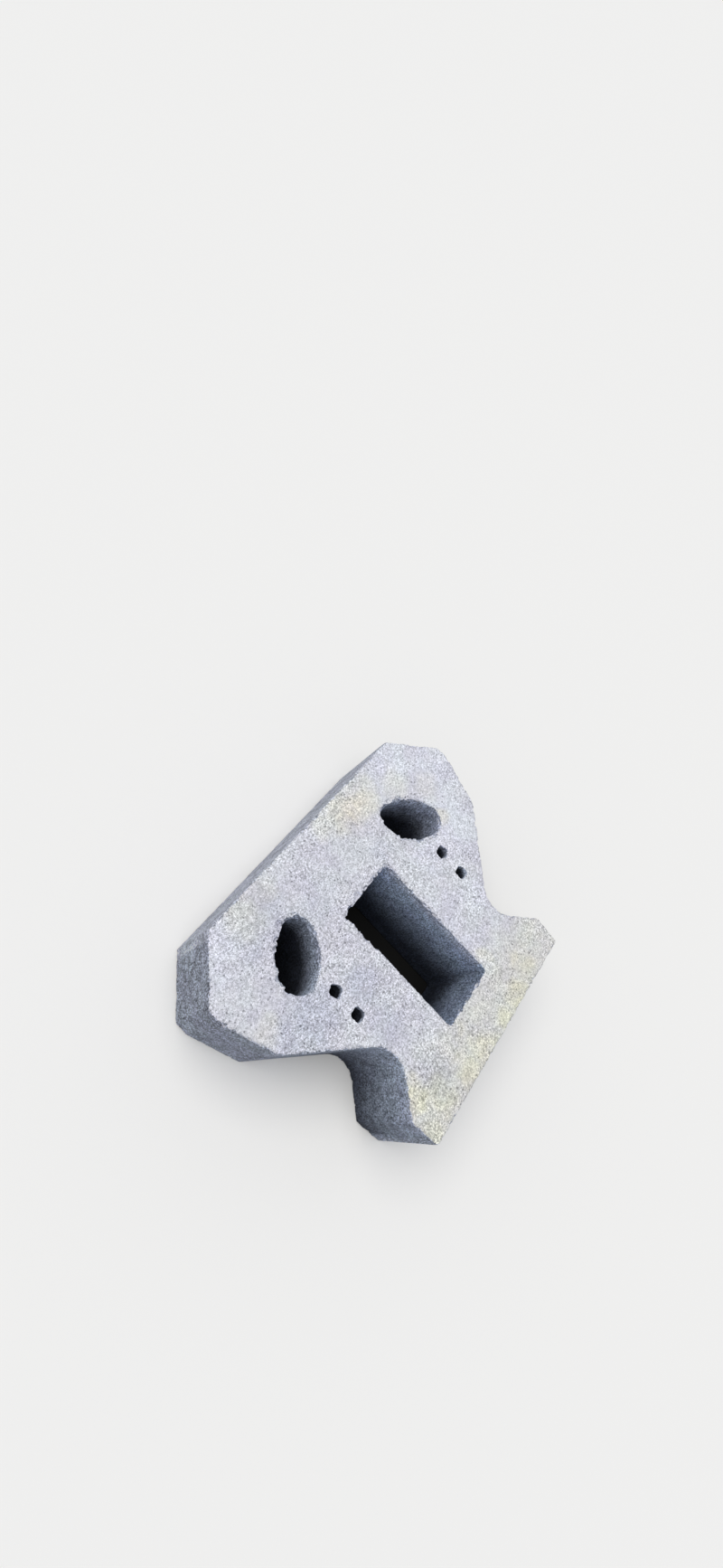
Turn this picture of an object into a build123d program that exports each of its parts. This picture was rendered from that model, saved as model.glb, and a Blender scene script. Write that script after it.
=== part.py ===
from build123d import *
import os

# Pinned retaining wall block, dry-cast concrete, one solid.
# The smooth face that shows in the wall is at -Y, the tail at +Y, and the bed face at Z = 0.
# All lengths are in millimetres.

# Overall size
width = 450.0
depth = 340.0
height = 150.0

# Plan outline, each half the mirror image of the other across X = 0.
# Insets are measured from the widest point, setbacks from the face.
bevel_inset = 56.5
bevel_setback = 58.5
cheek_length = 18.5
shoulder_inset = 22.0
shoulder_setback = 145.0
waist_vee_inset = 124.5
waist_vee_setback = 245.0
tail_inset = 75.0
tail_edge = 37.0
rear_inset = 79.0

# Roundings of the plan outline
face_corner_radius = 5.0
cheek_radius = 8.0
shoulder_radius = 14.0
waist_radius = 35.0
tail_corner_radius = 5.0
rear_corner_radius = 4.0

# Central core, open top and bottom
core_width = 83.0
core_setback = 106.0
tail_wall = 59.0
core_corner_radius = 3.5

# Pin holes, two on each side, a quarter of the width from the centre,
# so that they fall on the oval cores of the blocks above in half bond
pin_hole_diameter = 14.0
pin_offset = width / 4
front_pin_setback = 150.5
pin_pitch = 35.5

# Oval cores that take the pins of the course below, splayed towards the tail
oval_length = 83.0
oval_width = 50.0
oval_end_radius = 20.0
oval_splay = 47.0
oval_setback = 93.5
oval_outset = 3.0

# Channel in the bed face that joins each oval core to the pin holes behind it
channel_width = 11.0
channel_depth = 15.0

# Worn edges of the bed face and the top, round outside and bevelled at the cores
outer_arris = 2.0
core_arris = 1.5

face_y = -depth / 2
tail_y = depth / 2
side_x = width / 2


def plan_outline():
    """Half outline from the face to the tail, mirrored and filled."""
    cheek_setback = bevel_setback + cheek_length
    corners = [
        (0, face_y),
        (side_x - bevel_inset, face_y),
        (side_x, face_y + bevel_setback),
        (side_x, face_y + cheek_setback),
        (side_x - shoulder_inset, face_y + shoulder_setback),
        (side_x - waist_vee_inset, face_y + waist_vee_setback),
        (side_x - tail_inset, tail_y - tail_edge),
        (side_x - rear_inset, tail_y),
        (0, tail_y),
    ]
    radii = [
        face_corner_radius,
        cheek_radius,
        cheek_radius,
        shoulder_radius,
        waist_radius,
        tail_corner_radius,
        rear_corner_radius,
    ]
    half = FilletPolyline(*corners, radius=radii)
    edge = half + mirror(half, about=Plane.YZ)
    return make_face(edge.edges())


def oval_outline():
    """Long oval of four tangent arcs about the origin, long axis on X."""
    half_length = oval_length / 2
    half_width = oval_width / 2
    # The flank arc is tangent to both end arcs and passes through the half width
    end_x = half_length - oval_end_radius
    flank_radius = (end_x**2 + half_width**2 - oval_end_radius**2) / (2 * (half_width - oval_end_radius))
    flank_y = half_width - flank_radius
    reach = flank_radius / (flank_radius - oval_end_radius)
    join_x = end_x * reach
    join_y = flank_y - flank_y * reach
    right = ThreePointArc((join_x, -join_y), (half_length, 0), (join_x, join_y))
    top = ThreePointArc((join_x, join_y), (0, half_width), (-join_x, join_y))
    left = ThreePointArc((-join_x, join_y), (-half_length, 0), (-join_x, -join_y))
    bottom = ThreePointArc((-join_x, -join_y), (0, -half_width), (join_x, -join_y))
    return make_face([right, top, left, bottom])


def both_sides(shape):
    """The shape and its mirror image across X = 0."""
    return shape + mirror(shape, about=Plane.YZ)


def rims(shape):
    """Edges of the openings in the top and the bed face."""
    ends = shape.faces().sort_by(Axis.Z)
    loops = ends[0].inner_wires() + ends[-1].inner_wires()
    return [edge for loop in loops for edge in loop.edges()]


# Solid block with its outer edges worn round
blank = extrude(plan_outline(), height)
outer_edges = blank.edges().group_by(Axis.Z)[0] + blank.edges().group_by(Axis.Z)[-1]
blank = fillet(outer_edges, outer_arris)

# Cores, straight through
core_length = depth - core_setback - tail_wall
core_y = face_y + core_setback + core_length / 2
core = extrude(Pos(0, core_y) * RectangleRounded(core_width, core_length, core_corner_radius), height)
oval_x = pin_offset + oval_outset
oval_y = face_y + oval_setback
oval = extrude(Pos(oval_x, oval_y) * Rot(0, 0, oval_splay) * oval_outline(), height)
block = blank - core - both_sides(oval)
block = chamfer(rims(block), core_arris)

# Pin holes, straight through
front_pin_y = face_y + front_pin_setback
rear_pin_y = front_pin_y + pin_pitch
pin_hole = Cylinder(pin_hole_diameter / 2, height, align=(Align.CENTER, Align.CENTER, Align.MIN))
for pin_y in (front_pin_y, rear_pin_y):
    block = block - both_sides(Pos(pin_offset, pin_y) * pin_hole)

# Channel in the bed face, from inside the oval core to the rear pin hole
channel_length = rear_pin_y - oval_y
channel = Pos(pin_offset, oval_y) * Box(
    channel_width,
    channel_length,
    channel_depth,
    align=(Align.CENTER, Align.MIN, Align.MIN),
)
block = block - both_sides(channel)

wall_block = block.solids()[0]
wall_block.label = "wall_block"
os.makedirs("parts", exist_ok=True)
export_step(wall_block, "parts/wall_block.step")
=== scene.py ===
import math

import bmesh
import bpy
import numpy as np
from mathutils.kdtree import KDTree
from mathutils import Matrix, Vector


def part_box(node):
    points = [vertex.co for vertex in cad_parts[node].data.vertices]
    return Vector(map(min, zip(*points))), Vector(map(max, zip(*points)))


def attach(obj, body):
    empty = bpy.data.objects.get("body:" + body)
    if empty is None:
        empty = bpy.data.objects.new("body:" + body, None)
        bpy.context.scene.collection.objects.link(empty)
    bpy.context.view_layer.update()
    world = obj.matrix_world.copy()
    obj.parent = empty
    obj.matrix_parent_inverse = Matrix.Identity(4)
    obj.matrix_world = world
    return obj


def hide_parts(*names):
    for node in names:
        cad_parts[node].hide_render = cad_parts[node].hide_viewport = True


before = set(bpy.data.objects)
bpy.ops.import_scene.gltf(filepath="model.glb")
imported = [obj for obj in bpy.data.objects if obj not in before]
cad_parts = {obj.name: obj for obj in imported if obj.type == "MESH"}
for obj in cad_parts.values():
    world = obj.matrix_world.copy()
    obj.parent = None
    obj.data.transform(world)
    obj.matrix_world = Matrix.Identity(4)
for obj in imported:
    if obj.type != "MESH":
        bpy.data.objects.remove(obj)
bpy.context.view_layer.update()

# Dry-cast concrete retaining wall block, standing on its bed face.
# Lengths are in metres. The smooth face is at -Y, the tail at +Y.
box_low, box_high = (np.array(corner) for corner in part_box("wall_block"))
top_z = box_high[2]
collection = bpy.context.scene.collection

# Openings in plan: half width and ends of the core, place and half size of the ovals,
# and the two pin holes behind each oval
CORE_X = 0.0415
CORE_Y = (-0.064, 0.111)
OVAL_CENTRE = (0.1155, -0.0765)
OVAL_HALF = (0.0415, 0.025)
OVAL_SPLAY = math.radians(47)
PIN_X = 0.1125
PIN_Y = (-0.0195, 0.016)
PIN_RADIUS = 0.007

# Channel in the bed face that joins each oval to the pin holes behind it
CHANNEL_HALF = 0.0055
CHANNEL_TOP = 0.015

# Depths over which painted shade makes the core, the ovals and the pin holes turn dark
DARKENING = (2 * CORE_X, 2.4 * OVAL_HALF[1], 1.2 * PIN_RADIUS)

# Mesh of the worn casting
MERGE_DISTANCE = 1e-6
VOXEL = 0.0012
TRIANGLES = 190000
SHARP_ANGLE = math.radians(38)
SEED = 7

# Rounds of averaging that smooth the normals, level out the edges, and turn the normals sideways
NORMAL_ROUNDS = 8
LEVEL_ROUNDS = 14
SIDEWAYS_ROUNDS = 45

# Bulge over which a point becomes part of an edge, and distance from an opening over which
# a point stops being part of its rim
EDGE_BULGE = (0.00015, 0.0005)
RIM_REACH = (0.003, 0.009)

# Reach of the sounder concrete round a pair of pin holes, and its share of crumbling and bites
PIN_PAIR_REACH = 0.04
PIN_PAIR_CRUMBLE = 0.3
PIN_PAIR_BITES = 0.12

# Depth of the crumbling, of the bites and of the unevenness of the faces, and the cells of their noise
CRUMBLE_DEPTH = 0.0008
CRUMBLE_CELL = 0.0022
BITE_DEPTH = 0.0042
BITE_CELLS = (0.0044, 0.0026)
BITE_SPREAD_CELL = 0.016
WAVE_DEPTH = 0.0004
WAVE_CELLS = (0.035, 0.012)

# Noise over which a bite is cut, the way that the less bitten rims of the openings face,
# and the stretch of the core's +X rim that is whole
BITE_NOISE = (0.5, 0.62)
SOUND_SIDE = (0.88, -0.47, 0)
CLEAN_REACH = 0.01
CLEAN_Y = (-0.03, 0.0)

# Scattered broken places on the rims and on the outer edges: their number, least and greatest reach
RIM_CHIPS = (90, 0.0025, 0.0055)
OUTER_CHIPS = (180, 0.002, 0.005)
# Their least depth and what is added to it, in reaches, how unevenly they tilt and how flat they lie
CHIP_DEPTH = (0.1, 0.22)
CHIP_TILT = 0.18
CHIP_RISE = 0.6

# Broken places on the rims of the top that are large enough to tell apart, as x, y and reach:
# those of the ovals, which go further down, and those of the core and the sides
OVAL_BREAKS = [
    (-0.089, -0.108, 0.0075), (-0.097, -0.113, 0.005), (-0.134, -0.047, 0.005), (-0.143, -0.052, 0.0045),
    (-0.103, -0.055, 0.005), (-0.089, -0.071, 0.0045), (0.134, -0.095, 0.0055), (0.137, -0.088, 0.0045),
    (0.144, -0.075, 0.006), (0.123, -0.107, 0.0045), (0.149, -0.062, 0.004),
]
OTHER_BREAKS = [
    (-0.012, -0.066, 0.006), (0.0, -0.066, 0.0045), (-0.029, -0.066, 0.004), (0.019, -0.066, 0.005),
    (0.034, -0.066, 0.004), (0.043, -0.056, 0.005), (0.043, -0.043, 0.0045), (0.043, -0.03, 0.005),
    (0.043, -0.013, 0.004), (-0.0425, 0.003, 0.003), (-0.0425, 0.03, 0.003), (-0.019, 0.112, 0.003),
    (-0.165, 0.011, 0.0045), (0.171, 0.006, 0.004), (0.136, 0.041, 0.004),
]
# Their depth in reaches, how unevenly they tilt and how flat they lie,
# and how deep and how far down those of the ovals go
BREAK_DEPTH = 0.45
BREAK_TILT = 0.15
BREAK_RISE = 0.25
OVAL_BREAK_DEPTH = 0.6
OVAL_BREAK_DOWN = (0.006, 0.012)

# Directions in degrees, round each pin hole, in which its mouth is broken back to a corner
PIN_CORNERS = [
    (PIN_X, PIN_Y[0], (-90, -31, 54, 146)),
    (PIN_X, PIN_Y[1], (-128, -43, 46, 137)),
    (-PIN_X, PIN_Y[0], (-133, -40, 25, 85, 160)),
    (-PIN_X, PIN_Y[1], (-120, -50, 50, 130)),
]
# How far a corner goes out from the side between two corners, how far that side goes in,
# half the corner's spread in degrees, and where the mouth ends outwards and downwards
CORNER_OUT = 0.0017
SIDE_IN = 0.0007
CORNER_SPREAD = 42
MOUTH_REACH = (0.011, 0.015)
MOUTH_DOWN = (0.004, 0.010)

# Where the walls of an opening end outwards, where the core's end wall begins, and from where the openings
# at +X are darker, and how much, all for the painted shade in the openings
WALL_REACH = (0.007, 0.010)
END_WALL_Y = (0.1, 0.108)
DARK_SIDE_X = 0.06
DARK_SIDE = 1.3

# The waists, whose walls get painted shade: where they begin at the side, in front and behind, and the
# middle and reach of the bend
WAIST_X = (0.05, 0.06)
WAIST_FRONT_Y = (-0.01, 0.045)
WAIST_REAR_Y = (0.15, 0.165)
BEND_Y = 0.075
BEND_REACH = (0.02, 0.05)


def lattice_noise(points, cell, seed):
    """Smooth noise from 0 to 1 on a seeded lattice fixed to the block's box."""
    place = (points - (box_low - 3 * cell)) / cell
    base = np.floor(place).astype(int)
    blend = place - base
    blend = blend * blend * (3 - 2 * blend)
    size = np.ceil((box_high - box_low) / cell).astype(int) + 8
    values = np.random.default_rng(seed).random(size)
    total = np.zeros(len(points))
    for corner in np.ndindex(2, 2, 2):
        weight = np.prod(np.where(corner, blend, 1 - blend), axis=1)
        index = base + corner
        total += weight * values[index[:, 0], index[:, 1], index[:, 2]]
    return total


def averaged(values, edges, rounds):
    """Values smoothed over the mesh, each round half way to the neighbours' mean."""
    count = np.bincount(edges.ravel(), minlength=len(values))[:, None]
    for _ in range(rounds):
        total = np.empty_like(values)
        for axis in range(values.shape[1]):
            column = values[:, axis]
            total[:, axis] = np.bincount(edges[:, 0], column[edges[:, 1]], len(values))
            total[:, axis] += np.bincount(edges[:, 1], column[edges[:, 0]], len(values))
        values = (values + total / count) / 2
    return values


def unit(vectors):
    return vectors / np.maximum(np.linalg.norm(vectors, axis=1), 1e-9)[:, None]


def ramp(values, low, high):
    """Smooth step from 0 at low to 1 at high."""
    t = np.clip((values - low) / (high - low), 0, 1)
    return t * t * (3 - 2 * t)


def outside_openings(points):
    """Distance in plan from the nearest opening, negative inside it, and the depth over which painted
    shade darkens that opening.
    """
    x, y = np.abs(points[:, 0]), points[:, 1]
    core = np.maximum(x - CORE_X, np.maximum(CORE_Y[0] - y, y - CORE_Y[1]))
    c, s = math.cos(OVAL_SPLAY), math.sin(OVAL_SPLAY)
    u = (x - OVAL_CENTRE[0]) * c + (y - OVAL_CENTRE[1]) * s
    v = (y - OVAL_CENTRE[1]) * c - (x - OVAL_CENTRE[0]) * s
    oval = (np.hypot(u / OVAL_HALF[0], v / OVAL_HALF[1]) - 1) * OVAL_HALF[1]
    pins = np.minimum(*(np.hypot(x - PIN_X, y - pin_y) - PIN_RADIUS for pin_y in PIN_Y))
    distances = np.array((core, oval, pins))
    return distances.min(axis=0), np.array(DARKENING)[distances.argmin(axis=0)]


def arrays(mesh):
    """Points, normals and edges of a mesh."""
    points = np.empty(len(mesh.vertices) * 3)
    mesh.vertices.foreach_get("co", points)
    normals = np.empty(len(mesh.vertices) * 3)
    mesh.vertex_normals.foreach_get("vector", normals)
    edges = np.empty(len(mesh.edges) * 2, dtype=np.int32)
    mesh.edges.foreach_get("vertices", edges)
    return points.reshape(-1, 3), normals.reshape(-1, 3), edges.reshape(-1, 2)


def applied(obj, kind, **settings):
    """Adds one modifier, applies it and returns the new mesh."""
    modifier = obj.modifiers.new(kind.lower(), kind)
    for name, value in settings.items():
        setattr(modifier, name, value)
    graph = bpy.context.evaluated_depsgraph_get()
    mesh = bpy.data.meshes.new_from_object(obj.evaluated_get(graph))
    obj.modifiers.clear()
    old = obj.data
    obj.data = mesh
    bpy.data.meshes.remove(old)
    return mesh


class Chipper:
    """Cuts broken places into a surface that is given as points and smooth normals."""

    def __init__(self, points, normals):
        self.points = points
        self.normals = normals
        self.tree = KDTree(len(points))
        for index, point in enumerate(points):
            self.tree.insert(point, index)
        self.tree.balance()

    def cut(self, centre, reach, depth, tilt, rise):
        """Takes the surface round centre back to a tilted plane, steep where rise is small."""
        near = np.array([found[1] for found in self.tree.find_range(centre, reach)])
        if len(near) == 0:
            return
        offset = self.points[near] - centre
        distance = np.linalg.norm(offset, axis=1)
        out = self.normals[near].mean(axis=0) * (1, 1, rise)
        out = out / np.linalg.norm(out) + tilt
        out /= np.linalg.norm(out)
        above = offset @ out + depth
        fade = 1 - ramp(distance, 0.75 * reach, reach)
        self.points[near] -= np.outer(np.maximum(above, 0) * fade, out)


def chip_edges(points, normals, on_rims, on_outer_edges):
    """Cuts broken places out of the edges, closer and larger on the rims of the openings."""
    chipper = Chipper(points, normals)
    draw = np.random.default_rng(SEED + 10)
    for chosen, (chips, low, high) in ((on_rims, RIM_CHIPS), (on_outer_edges, OUTER_CHIPS)):
        on_edge = np.nonzero(chosen)[0]
        on_edge = on_edge[np.lexsort(points[on_edge].round(6).T)]
        for _ in range(chips):
            centre = points[on_edge[int(draw.random() * len(on_edge))]].copy()
            reach = low + (high - low) * draw.random() ** 2
            depth = reach * (CHIP_DEPTH[0] + CHIP_DEPTH[1] * draw.random())
            chipper.cut(centre, reach, depth, draw.normal(size=3) * CHIP_TILT, CHIP_RISE)
    for x, y, reach in OVAL_BREAKS + OTHER_BREAKS:
        centre = np.array((x, y, top_z - 0.001))
        chipper.cut(centre, reach, BREAK_DEPTH * reach, draw.normal(size=3) * BREAK_TILT, BREAK_RISE)


def break_pin_mouths(points):
    """Breaks the mouth of each pin hole out to corners, with straighter sides between them."""
    for x, y, corners in PIN_CORNERS:
        offset = points[:, :2] - (x, y)
        radius = np.linalg.norm(offset, axis=1)
        fade = (1 - ramp(radius, *MOUTH_REACH)) * (1 - ramp(top_z - points[:, 2], *MOUTH_DOWN))
        near = np.nonzero(fade > 0)[0]
        turn = np.degrees(np.arctan2(offset[near, 1], offset[near, 0]))[:, None] - corners
        turn = np.abs((turn + 180) % 360 - 180).min(axis=1)
        outward = CORNER_OUT * np.clip(1 - turn / CORNER_SPREAD, 0, 1) - SIDE_IN
        push = outward * fade[near] / radius[near]
        points[near, :2] += offset[near] * push[:, None]


def worn_points(points, normals, edges):
    """Points of a dense surface with its convex edges rounded, crumbled, bitten and chipped."""
    soft_normals = unit(averaged(normals, edges, NORMAL_ROUNDS))
    bulge = np.sum((points - averaged(points, edges, LEVEL_ROUNDS)) * soft_normals, axis=1)
    edge = ramp(bulge, *EDGE_BULGE)
    rim = 1 - ramp(outside_openings(points)[0], *RIM_REACH)

    from_pins = np.abs(np.abs(points[:, 0]) - PIN_X) + np.abs(points[:, 1] - np.mean(PIN_Y))
    beside_pins = from_pins < PIN_PAIR_REACH
    fine = lattice_noise(points, CRUMBLE_CELL, SEED) * np.where(beside_pins, PIN_PAIR_CRUMBLE, 1.0)
    points = points - soft_normals * (edge * CRUMBLE_DEPTH * fine)[:, None]

    # Small bites out of the edges, with steep sides
    sideways = averaged(normals * (1, 1, 0), edges, SIDEWAYS_ROUNDS)
    strength = np.linalg.norm(sideways, axis=1)
    sideways = sideways / np.maximum(strength, 1e-6)[:, None]
    from_top = top_z - points[:, 2]
    from_face = np.minimum(points[:, 2] - box_low[2], from_top)
    ragged = 0.6 * lattice_noise(points, BITE_CELLS[0], SEED + 1)
    ragged += 0.4 * lattice_noise(points, BITE_CELLS[1], SEED + 5)
    broad = lattice_noise(points, BITE_SPREAD_CELL, SEED + 2)
    bites = ramp(ragged, *BITE_NOISE) * (0.4 + 0.8 * broad)
    bites *= 1 - ramp(from_face, 0.0015 + 0.003 * rim, 0.005 + 0.004 * rim + 0.008 * broad)

    # Shallower ones on the less bitten and the whole rims, few beside the pin holes,
    # and none on the rims in the bed face
    sound = rim * ramp(sideways @ SOUND_SIDE, 0.1, 0.5)
    clean = rim * (np.abs(points[:, 0] - CORE_X) < CLEAN_REACH) * ramp(points[:, 1], *CLEAN_Y)
    share = (0.3 + 0.7 * rim) * (1 - 0.65 * sound) * (1 - 0.8 * clean)
    share = np.where(beside_pins, PIN_PAIR_BITES, share)
    upper = points[:, 2] > top_z / 2
    share[(rim > 0.1) & ~upper] = 0
    push = BITE_DEPTH * bites * share
    for x, y, reach in OVAL_BREAKS:
        near = 1 - ramp(np.hypot(points[:, 0] - x, points[:, 1] - y), 0.5 * reach, reach)
        broken = OVAL_BREAK_DEPTH * reach * near * (1 - ramp(from_top, *OVAL_BREAK_DOWN))
        push = np.maximum(push, broken)
    points = points - sideways * (push * np.clip(2.2 * strength, 0, 1))[:, None]

    on_rims = (rim > 0.5) & (np.maximum(sound, clean) < 0.4) & upper & ~beside_pins
    chip_edges(points, soft_normals, (edge > 0.6) & on_rims, (edge > 0.6) & (rim < 0.5))
    break_pin_mouths(points)

    # Slight unevenness of the moulded faces
    wave = lattice_noise(points, WAVE_CELLS[0], SEED + 3) * 0.7
    wave += lattice_noise(points, WAVE_CELLS[1], SEED + 4) * 0.3
    points = points - normals * (WAVE_DEPTH * wave * (1 - edge))[:, None]
    return np.clip(points, box_low, box_high)


def shade_depths(mesh):
    """How much painted shade each corner of a wall face gets, from how far it lies down inside an opening,
    a waist or a channel.
    """
    points, _, _ = arrays(mesh)
    outside, darkening = outside_openings(points)
    aside, across, height = np.abs(points[:, 0]), points[:, 1], points[:, 2]

    # Painted shade in the openings, with the ovals and pin holes at +X and the core's end wall darker than
    # the rest
    beside = 1 - ramp(outside, *WALL_REACH)
    depth = beside * np.clip((top_z - height) / darkening, 0, 2)
    depth *= np.where(points[:, 0] > DARK_SIDE_X, DARK_SIDE, 1.0)
    end_wall = beside * (aside < WAIST_X[0]) * ramp(across, *END_WALL_Y)
    depth = np.maximum(depth + 0.15 * end_wall, 0.65 * end_wall)

    # Painted shade on the waists, darker downwards and a little darker in the middle of the bend
    waist = ramp(aside, *WAIST_X) * ramp(across, *WAIST_FRONT_Y) * (1 - ramp(across, *WAIST_REAR_Y))
    bend = 1 - ramp(np.abs(across - BEND_Y), *BEND_REACH)
    down = 1 - height / top_z
    depth = np.maximum(depth, waist * (0.12 + 1.15 * down + 0.08 * bend))

    # Painted shade in the channels, by the height above the bed face
    channel = np.abs(aside - PIN_X) < 1.15 * CHANNEL_HALF
    channel &= (across > OVAL_CENTRE[1]) & (across < PIN_Y[1])
    channel &= (height > 0.0005) & (height < 1.1 * CHANNEL_TOP)
    depth = np.where(channel, 0.6 * height / CHANNEL_TOP, depth)

    # Only the faces of the walls get painted shade, and not those of the top or the bed face
    corners = np.empty(len(mesh.loops), dtype=np.int32)
    mesh.loops.foreach_get("vertex_index", corners)
    rise = np.empty(len(mesh.polygons) * 3)
    mesh.polygons.foreach_get("normal", rise)
    rise = rise.reshape(-1, 3)[:, 2]
    sides = np.empty(len(mesh.polygons), dtype=np.int32)
    mesh.polygons.foreach_get("loop_total", sides)
    inner = np.repeat((rise < 0.5) & (rise > -0.9), sides) | (outside < 0.0005)[corners]
    inner &= np.repeat(rise < 0.5, sides) | (height[corners] < top_z / 2)
    inner |= channel[corners]
    return depth[corners] * inner


def wear(obj):
    """Remeshes a casting densely, wears its edges and stores how much painted shade its walls get."""
    mesh = applied(obj, "REMESH", mode="VOXEL", voxel_size=VOXEL, adaptivity=0.0)
    mesh.vertices.foreach_set("co", worn_points(*arrays(mesh)).ravel())
    mesh.update()
    triangles = sum(len(face.vertices) - 2 for face in mesh.polygons)
    mesh = applied(obj, "DECIMATE", ratio=min(1.0, TRIANGLES / triangles))
    mesh.shade_smooth()
    mesh.set_sharp_from_angle(angle=SHARP_ANGLE)
    shade_depth = shade_depths(mesh)
    mesh.attributes.new("shade_depth", "FLOAT", "CORNER").data.foreach_set("value", shade_depth)


# Tones of the cement paste, and of patches in it
PASTE_TONES = ((0.58, 0.582, 0.668, 1), (0.625, 0.65, 0.708, 1))
PATCH_TONE = (0.668, 0.668, 0.73, 1)

# Tints of the top towards the tail, of the walls, of the smooth face and of the openings: the walls partly
# their own grey-blue and partly painted shade that makes them darker than the top, the smooth face painted
# light, and the openings painted shade, bluer and then darker the deeper they go
TAIL_TINT = (1.05, 1.035, 0.87, 1)
WALL_TINT_AND_SHADE = (0.82, 0.87, 0.945, 1)
SMOOTH_FACE_PAINTED_LIGHT = (1.46, 1.42, 1.36, 1)
BLUE_SHADE_TINT = (0.95, 1.04, 1.11, 1)
DEEP_SHADE_TINT = (0.06, 0.065, 0.08, 1)

# Tinted spots on the top, as x, y, radius and strength: buff, warm, pale and darker
BUFF_TINT = (1.05, 1.03, 0.885, 1)
BUFF_SPOTS = [
    (-0.045, -0.150, 0.030, 1.0), (-0.012, -0.156, 0.018, 0.6), (-0.080, -0.140, 0.028, 1.0),
    (-0.099, -0.150, 0.018, 0.6), (-0.130, -0.122, 0.022, 0.6), (-0.164, -0.092, 0.020, 0.5),
    (-0.149, -0.049, 0.012, 1.1), (0.129, -0.152, 0.028, 0.55), (0.097, -0.157, 0.020, 0.4),
    (0.195, -0.052, 0.016, 0.5), (-0.056, 0.101, 0.010, 0.7), (-0.087, 0.146, 0.018, 0.7),
    (-0.050, 0.162, 0.020, 1.1), (-0.015, 0.164, 0.016, 0.9), (0.030, 0.160, 0.022, 0.8),
    (0.062, 0.158, 0.022, 0.9), (0.038, 0.120, 0.010, 0.4), (0.127, 0.122, 0.017, 1.1),
    (0.108, 0.145, 0.022, 0.7), (0.135, 0.155, 0.018, 0.7),
]
WARM_TINT = (1.09, 1.045, 0.96, 1)
WARM_SPOTS = [(-0.062, -0.138, 0.024, 0.75), (0.124, 0.108, 0.010, 0.4)]
PALE_TINT = (1.095, 1.11, 1.125, 1)
PALE_SPOTS = [
    (0.160, -0.160, 0.014, 0.7), (0.176, -0.146, 0.017, 1.0), (0.194, -0.127, 0.015, 0.8),
    (0.210, -0.116, 0.012, 0.5), (-0.050, 0.012, 0.012, 0.6), (-0.050, 0.040, 0.013, 0.7),
    (-0.048, 0.072, 0.013, 0.7), (-0.045, 0.098, 0.010, 0.6), (-0.185, -0.100, 0.045, 0.9),
    (-0.150, -0.150, 0.040, 1.0), (-0.150, -0.040, 0.050, 0.9), (-0.090, -0.030, 0.025, 0.6),
    (-0.100, -0.130, 0.030, 0.6), (-0.110, 0.045, 0.022, 0.5), (-0.075, 0.030, 0.020, 0.5),
]
DARKER_TINT = (0.81, 0.82, 0.88, 1)
DARKER_SPOTS = [
    (0.147, -0.024, 0.038, 1.0), (0.088, 0.000, 0.028, 0.9), (0.180, -0.022, 0.028, 0.8),
    (0.115, -0.130, 0.032, 0.6), (0.150, -0.122, 0.022, 0.6), (0.094, 0.130, 0.026, 0.9),
    (-0.050, -0.083, 0.016, 0.5), (0.095, 0.046, 0.026, 0.6), (0.055, -0.100, 0.030, 0.4),
    (0.138, 0.152, 0.014, 0.5),
]
TINTED_SPOTS = (
    (BUFF_TINT, BUFF_SPOTS), (WARM_TINT, WARM_SPOTS), (PALE_TINT, PALE_SPOTS), (DARKER_TINT, DARKER_SPOTS),
)

# Spots on the top where the grain shows less
SMOOTH_SPOTS = [
    (0.190, -0.090, 0.045, 1.0), (-0.120, -0.130, 0.050, 0.6),
    (-0.175, -0.080, 0.040, 0.6), (-0.080, 0.130, 0.045, 0.5),
]

# Size of the patterns, in cells to a metre, from slow changes to sand
CONTRAST_SCALE = 17
CLOUD_SCALE = 26
PITTED_SCALE = 30
RAGGED_SCALE = 40
MOTTLE_SCALE = 60
PATCH_SCALE = 70
BLOTCH_SCALE = 85
PORE_SCALE = 300
GRAIN_SCALE = 430
SAND_SCALE = 760

# The same in x, y and z for the patterns that are drawn out along the walls
BROAD_DRAG_STRETCH = (120, 120, 6)
DRAG_STRETCH = (520, 520, 22)
SPECK_STRETCH = (650, 650, 170)

# How far the outlines of the spots stray, and the depth of the grain's relief
RAGGED_REACH = 0.028
RELIEF = 0.001

# A surface with this much of its normal upwards or downwards counts as level, and the smooth face
# lies in front of these values of y
LEVEL_NORMAL = (0.45, 0.8)
SMOOTH_FACE_Y = (-0.163, -0.160)


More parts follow.
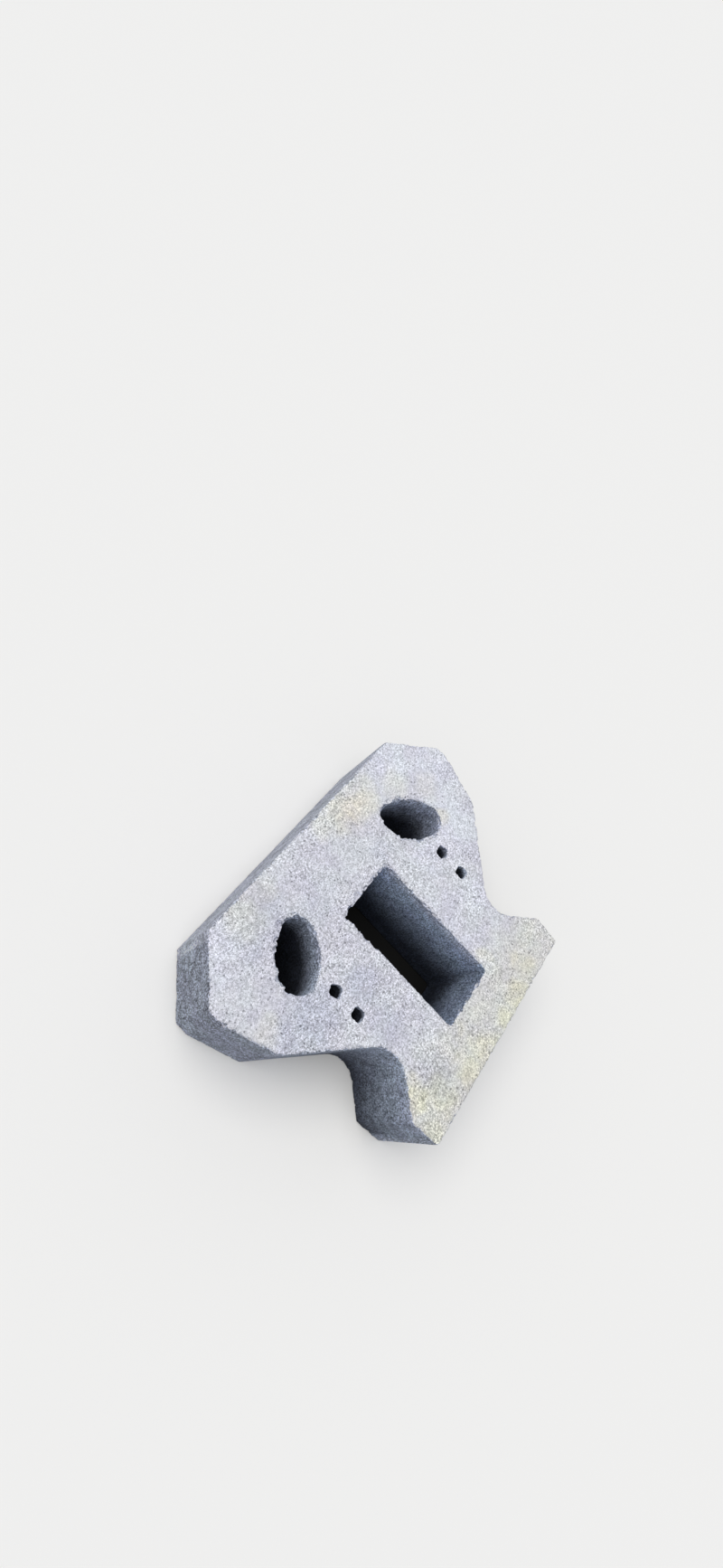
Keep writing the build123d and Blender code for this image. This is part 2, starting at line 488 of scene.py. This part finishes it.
class Shader:
    """Short calls for the nodes of one material or world."""

    def __init__(self, owner):
        owner.use_nodes = True
        self.tree = owner.node_tree
        self.tree.nodes.clear()

    def add(self, kind, inputs=None, **settings):
        """A node with its settings, and its sockets set or linked."""
        made = self.tree.nodes.new("ShaderNode" + kind)
        for name, value in settings.items():
            setattr(made, name, value)
        for socket, value in (inputs or {}).items():
            if isinstance(value, bpy.types.NodeSocket):
                self.tree.links.new(value, made.inputs[socket])
            else:
                made.inputs[socket].default_value = value
        return made

    def calc(self, operation, *values, clamp=False):
        return self.add("Math", dict(enumerate(values)), operation=operation, use_clamp=clamp).outputs[0]

    def vector(self, operation, inputs, output="Vector"):
        return self.add("VectorMath", inputs, operation=operation).outputs[output]

    def part(self, vector, axis):
        return self.add("SeparateXYZ", {"Vector": vector}).outputs[axis]

    def remap(self, value, low, high, to_low=0.0, to_high=1.0):
        inputs = {"Value": value, "From Min": low, "From Max": high, "To Min": to_low, "To Max": to_high}
        return self.add("MapRange", inputs, interpolation_type="SMOOTHSTEP").outputs["Result"]

    def noise(self, vector, scale, detail=2.0, roughness=0.5, output="Fac"):
        inputs = {"Vector": vector, "Scale": scale, "Detail": detail, "Roughness": roughness}
        return self.add("TexNoise", inputs).outputs[output]

    def mix(self, factor, first, second, blend="MIX"):
        inputs = {0: factor, 6: first, 7: second}
        return self.add("Mix", inputs, data_type="RGBA", blend_type=blend).outputs[2]

    def moved(self, vector, offset, stretch=(1, 1, 1)):
        return self.add("Mapping", {"Vector": vector, "Location": offset, "Scale": stretch}).outputs[0]

    def grey(self, value):
        return self.add("CombineColor", {0: value, 1: value, 2: value}).outputs[0]

    def seen_directly(self):
        """1 for rays that show a surface or the backdrop to the eye, 0 for rays that light the scene."""
        path = self.add("LightPath")
        seen = path.outputs["Is Camera Ray"]
        for ray in ("Is Glossy Ray", "Is Transmission Ray"):
            seen = self.calc("MAXIMUM", seen, path.outputs[ray])
        return seen


def concrete():
    """Dry-cast concrete with sand grain, open pores, drag lines and the spots and tints of its top."""
    material = bpy.data.materials.new("dry_cast_concrete")
    shader = Shader(material)
    calc, remap, noise, mix, moved = shader.calc, shader.remap, shader.noise, shader.mix, shader.moved
    place = shader.add("TexCoord")
    where, facing = place.outputs["Object"], place.outputs["Normal"]
    aside, across = calc("ABSOLUTE", shader.part(where, "X")), shader.part(where, "Y")
    up = shader.part(facing, "Z")
    flatness = calc("ABSOLUTE", up)
    shade_depth = shader.add("Attribute", attribute_name="shade_depth").outputs["Fac"]
    level = calc("MULTIPLY", remap(flatness, *LEVEL_NORMAL), remap(shade_depth, 0.3, 0.8, 1.0, 0.0))

    # Cement paste with slow changes of tone and tint
    cloud = noise(where, CLOUD_SCALE, 3.0)
    patch = noise(moved(where, (0.3, 0.1, 0.2)), PATCH_SCALE, 3.0)
    colour = mix(remap(cloud, 0.35, 0.65), *PASTE_TONES)
    colour = mix(remap(patch, 0.4, 0.7, 0, 0.45), colour, PATCH_TONE)

    # Spots of tint on the top, with ragged outlines
    ragged = noise(where, RAGGED_SCALE, 1.5, output="Color")
    ragged = shader.vector("SUBTRACT", {0: ragged, 1: (0.5, 0.5, 0.5)})
    ragged = shader.vector("SCALE", {0: ragged, "Scale": RAGGED_REACH})
    ragged = shader.vector("ADD", {0: where, 1: ragged})
    mottle = remap(noise(moved(where, (0.5, 0.2, 0.7)), MOTTLE_SCALE, 1.0), 0.3, 0.6, 0.75, 1.0)
    on_top = calc("MULTIPLY", remap(up, *LEVEL_NORMAL), mottle)

    def spots(places):
        total = None
        for x, y, radius, strength in places:
            scale = 1 / radius
            near = moved(ragged, (-x * scale, -y * scale, 0), (scale, scale, 0))
            spot = remap(shader.vector("LENGTH", {0: near}, "Value"), 0.35, 1.35, strength, 0.0)
            total = spot if total is None else calc("MAXIMUM", total, spot)
        return calc("MULTIPLY", total, on_top, clamp=True)

    tail = remap(shader.part(ragged, "Y"), 0.08, 0.135, 0.0, 0.75)
    colour = mix(calc("MULTIPLY", tail, on_top), colour, TAIL_TINT, "MULTIPLY")
    for tint, places in TINTED_SPOTS:
        colour = mix(spots(places), colour, tint, "MULTIPLY")

    # Sand and fine stone in the paste: light and dark grains and open pores
    grain = noise(moved(where, (0.7, 0.4, 0.9)), GRAIN_SCALE, 2.0, 0.7)
    sand = noise(moved(where, (0.1, 0.8, 0.5)), SAND_SCALE, 2.0, 0.6)
    shade = calc("MULTIPLY", remap(grain, 0.28, 0.72, 0.66, 1.32), remap(sand, 0.28, 0.72, 0.7, 1.28))
    contrast = remap(noise(moved(where, (0.6, 0.6, 0.1)), CONTRAST_SCALE), 0.35, 0.65, 0.9, 1.3)
    contrast = calc("SUBTRACT", contrast, calc("MULTIPLY", spots(SMOOTH_SPOTS), 0.4))
    shade = calc("POWER", shade, contrast)
    cells = shader.add("TexVoronoi", {"Vector": where, "Scale": PORE_SCALE})
    chosen = shader.add("SeparateColor", {0: cells.outputs["Color"]}).outputs[0]
    pitted = remap(noise(moved(where, (0.2, 0.3, 0.4)), PITTED_SCALE), 0.35, 0.65, 0.75, 0.45)
    size = calc("MULTIPLY", calc("SUBTRACT", chosen, pitted), 1.2)
    pore = remap(calc("SUBTRACT", calc("MINIMUM", size, 0.42), cells.outputs["Distance"]), 0.0, 0.16)
    shade = calc("MULTIPLY", shade, calc("SUBTRACT", 1.0, calc("MULTIPLY", pore, 0.45)))

    # Fine vertical drag lines that the mould leaves on the walls, and their coarser grain
    drag = noise(moved(where, (0, 0, 0), DRAG_STRETCH), 1.0, 3.0, 0.6)
    broad_drag = noise(moved(where, (5, 3, 0), BROAD_DRAG_STRETCH), 1.0)
    streak = calc("MULTIPLY", remap(drag, 0.3, 0.7, 0.93, 1.06), remap(broad_drag, 0.3, 0.7, 0.95, 1.05))
    in_front = remap(across, *SMOOTH_FACE_Y, 1.0, 0.0)
    smooth_face = calc("MULTIPLY", in_front, remap(flatness, 0.3, 0.5, 1.0, 0.0))
    coarse = calc("SUBTRACT", remap(across, -0.13, -0.05, 2.4, 1.7), calc("MULTIPLY", smooth_face, 0.9))
    blotch = noise(moved(where, (0.9, 0.2, 0.4), (1, 1, 0.7)), BLOTCH_SCALE, 3.0, 0.6)
    speck = noise(moved(where, (2, 7, 4), SPECK_STRETCH), 1.0, 1.5, 0.6)
    spotted = calc("MULTIPLY", remap(blotch, 0.35, 0.65, 0.86, 1.11), remap(speck, 0.32, 0.68, 0.81, 1.18))
    wall_shade = calc("POWER", calc("MULTIPLY", shade, spotted), coarse)
    wall_shade = calc("MULTIPLY", calc("MINIMUM", wall_shade, 1.9), streak)
    # Painted shade: the walls are tinted darker than the top, as well as having their own grey-blue
    wall = mix(1.0, colour, WALL_TINT_AND_SHADE, "MULTIPLY")
    wall = mix(1.0, wall, shader.grey(wall_shade), "MULTIPLY")

    # Painted light makes the smooth face paler, and painted shade makes the openings, waists and channels
    # bluer and then darker the deeper they go
    wall = mix(smooth_face, wall, mix(1.0, wall, SMOOTH_FACE_PAINTED_LIGHT, "MULTIPLY"))
    blue_shade = calc("MAXIMUM", remap(aside, 0.05, 0.07, 1.0, 0.25), remap(across, 0.03, 0.05, 0.0, 0.45))
    blue_shade = calc("MULTIPLY", blue_shade, remap(shade_depth, 0.0, 0.3))
    wall = mix(blue_shade, wall, mix(1.0, wall, BLUE_SHADE_TINT, "MULTIPLY"))
    wall = mix(remap(shade_depth, 0.05, 1.5), wall, mix(1.0, wall, DEEP_SHADE_TINT, "MULTIPLY"))
    colour = mix(level, wall, mix(1.0, colour, shader.grey(shade), "MULTIPLY"))

    # Relief of the grain, the pores and the drag lines
    height = calc("ADD", calc("MULTIPLY", grain, 0.9), calc("MULTIPLY", sand, 0.5))
    height = calc("SUBTRACT", height, calc("MULTIPLY", pore, 0.8))
    line = calc("MULTIPLY", drag, calc("SUBTRACT", 1.0, level))
    height = calc("ADD", height, calc("MULTIPLY", line, 0.4))
    bump = shader.add("Bump", {"Height": height, "Strength": 0.7, "Distance": RELIEF})

    inputs = {
        "Base Color": colour,
        "Roughness": remap(grain, 0.2, 0.8, 0.84, 0.97),
        "Specular IOR Level": 0.25,
        "Normal": bump.outputs["Normal"],
    }
    surface = shader.add("BsdfPrincipled", inputs)
    shader.add("OutputMaterial", {"Surface": surface.outputs[0]})
    return material


# The block
cast_block = bpy.data.objects.new("cast_block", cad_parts["wall_block"].data.copy())
collection.objects.link(cast_block)
worker = bmesh.new()
worker.from_mesh(cast_block.data)
bmesh.ops.remove_doubles(worker, verts=worker.verts, dist=MERGE_DISTANCE)
worker.to_mesh(cast_block.data)
worker.free()
wear(cast_block)
cast_block.data.materials.clear()
cast_block.data.materials.append(concrete())
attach(cast_block, "root")
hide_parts("wall_block")


# Floor and backdrop: their greys as they are seen, as they light the block, and the painted shade of the
# floor under the block
FLOOR_SIZE = 12.0
FLOOR_GREY = 0.84
LIGHTING_GREY = 0.12
UNDER_BLOCK_SHADE_GREY = 0.012
BACKDROP_GREY = 0.86
# The floor that the block covers, painted almost black as shade, as rectangles centred on x = 0: half
# width, lowest and highest y
COVERED = ((0.062, -0.13, 0.13), (0.165, -0.13, -0.03), (0.13, -0.03, 0.03))

# Strength and tint of the sky, and the lamp's direction, spread in degrees, share and tint
SKY_STRENGTH = 0.43
SKY_TINT = (0.95, 0.99, 1.06, 1)
LAMP_TOWARDS = (0.12, -0.28, 1.0)
LAMP_SPREAD = 50
LAMP_SHARE = 0.6
LAMP_TINT = (1.04, 1.01, 0.95)
LAMP_DISTANCE = 3

# Camera: place, turn in degrees, lens and sensor in millimetres, and shift
CAMERA_PLACE = (0.4395, -0.2340, 1.0399)
CAMERA_TURN = (30.789, -24.543, 130.357)
CAMERA_LENS = 18.227
CAMERA_SENSOR = 36.0
CAMERA_SHIFT = -0.0963


def even_grey(value):
    return (value, value, value, 1)


def pale_floor():
    """A level floor that is pale to the eye and lights the block only a little, with painted shade, almost
    black, where the block covers it.
    """
    half = FLOOR_SIZE / 2
    corners = [(-half, -half, 0), (half, -half, 0), (half, half, 0), (-half, half, 0)]
    mesh = bpy.data.meshes.new("floor")
    mesh.from_pydata(corners, [], [(0, 1, 2, 3)])
    floor = bpy.data.objects.new("floor", mesh)
    collection.objects.link(floor)
    material = bpy.data.materials.new("plain_floor")
    shader = Shader(material)
    where = shader.add("TexCoord").outputs["Object"]
    x, y = shader.part(where, "X"), shader.part(where, "Y")

    # Painted shade: almost black under the block, as it is seen and as it lights
    under = None
    for x_half, y_low, y_high in COVERED:
        in_x = shader.calc("COMPARE", x, 0.0, x_half)
        in_y = shader.calc("COMPARE", y, (y_low + y_high) / 2, (y_high - y_low) / 2)
        inside = shader.calc("MULTIPLY", in_x, in_y)
        under = inside if under is None else shader.calc("MAXIMUM", under, inside)
    pale = shader.calc("SUBTRACT", shader.seen_directly(), under, clamp=True)
    lighting = shader.mix(under, even_grey(LIGHTING_GREY), even_grey(UNDER_BLOCK_SHADE_GREY))
    colour = shader.mix(pale, lighting, even_grey(FLOOR_GREY))
    surface = shader.add("BsdfDiffuse", {"Color": colour})
    shader.add("OutputMaterial", {"Surface": surface.outputs[0]})
    mesh.materials.append(material)


def soft_world():
    """An even bluish sky, with a pale backdrop to the eye."""
    world = bpy.data.worlds.new("soft_light")
    bpy.context.scene.world = world
    shader = Shader(world)
    sky = shader.add("Background", {"Color": SKY_TINT, "Strength": SKY_STRENGTH})
    backdrop = shader.add("Background", {"Color": even_grey(BACKDROP_GREY), "Strength": 1.0})
    sides = {0: shader.seen_directly(), 1: sky.outputs[0], 2: backdrop.outputs[0]}
    shown = shader.add("MixShader", sides)
    shader.add("OutputWorld", {"Surface": shown.outputs[0]})


def soft_lamp():
    """A wide soft lamp from one direction, which gives level surfaces a share of full light."""
    lamp = bpy.data.lights.new("key_lamp", "SUN")
    lamp.angle = math.radians(LAMP_SPREAD)
    lamp.color = LAMP_TINT
    direction = np.array(LAMP_TOWARDS) / np.linalg.norm(LAMP_TOWARDS)
    lamp.energy = LAMP_SHARE * math.pi / direction[2]
    obj = bpy.data.objects.new("key_lamp", lamp)
    obj.rotation_euler = (math.acos(direction[2]), 0, math.atan2(direction[0], -direction[1]))
    obj.location = direction * LAMP_DISTANCE
    collection.objects.link(obj)


pale_floor()
soft_world()
soft_lamp()

camera_data = bpy.data.cameras.new("photo_camera")
camera_data.sensor_width = CAMERA_SENSOR
camera_data.lens = CAMERA_LENS
camera_data.shift_y = CAMERA_SHIFT
camera = bpy.data.objects.new("photo_camera", camera_data)
camera.location = CAMERA_PLACE
camera.rotation_euler = [math.radians(angle) for angle in CAMERA_TURN]
collection.objects.link(camera)
bpy.context.scene.camera = camera

bpy.context.scene.view_settings.view_transform = "Standard"
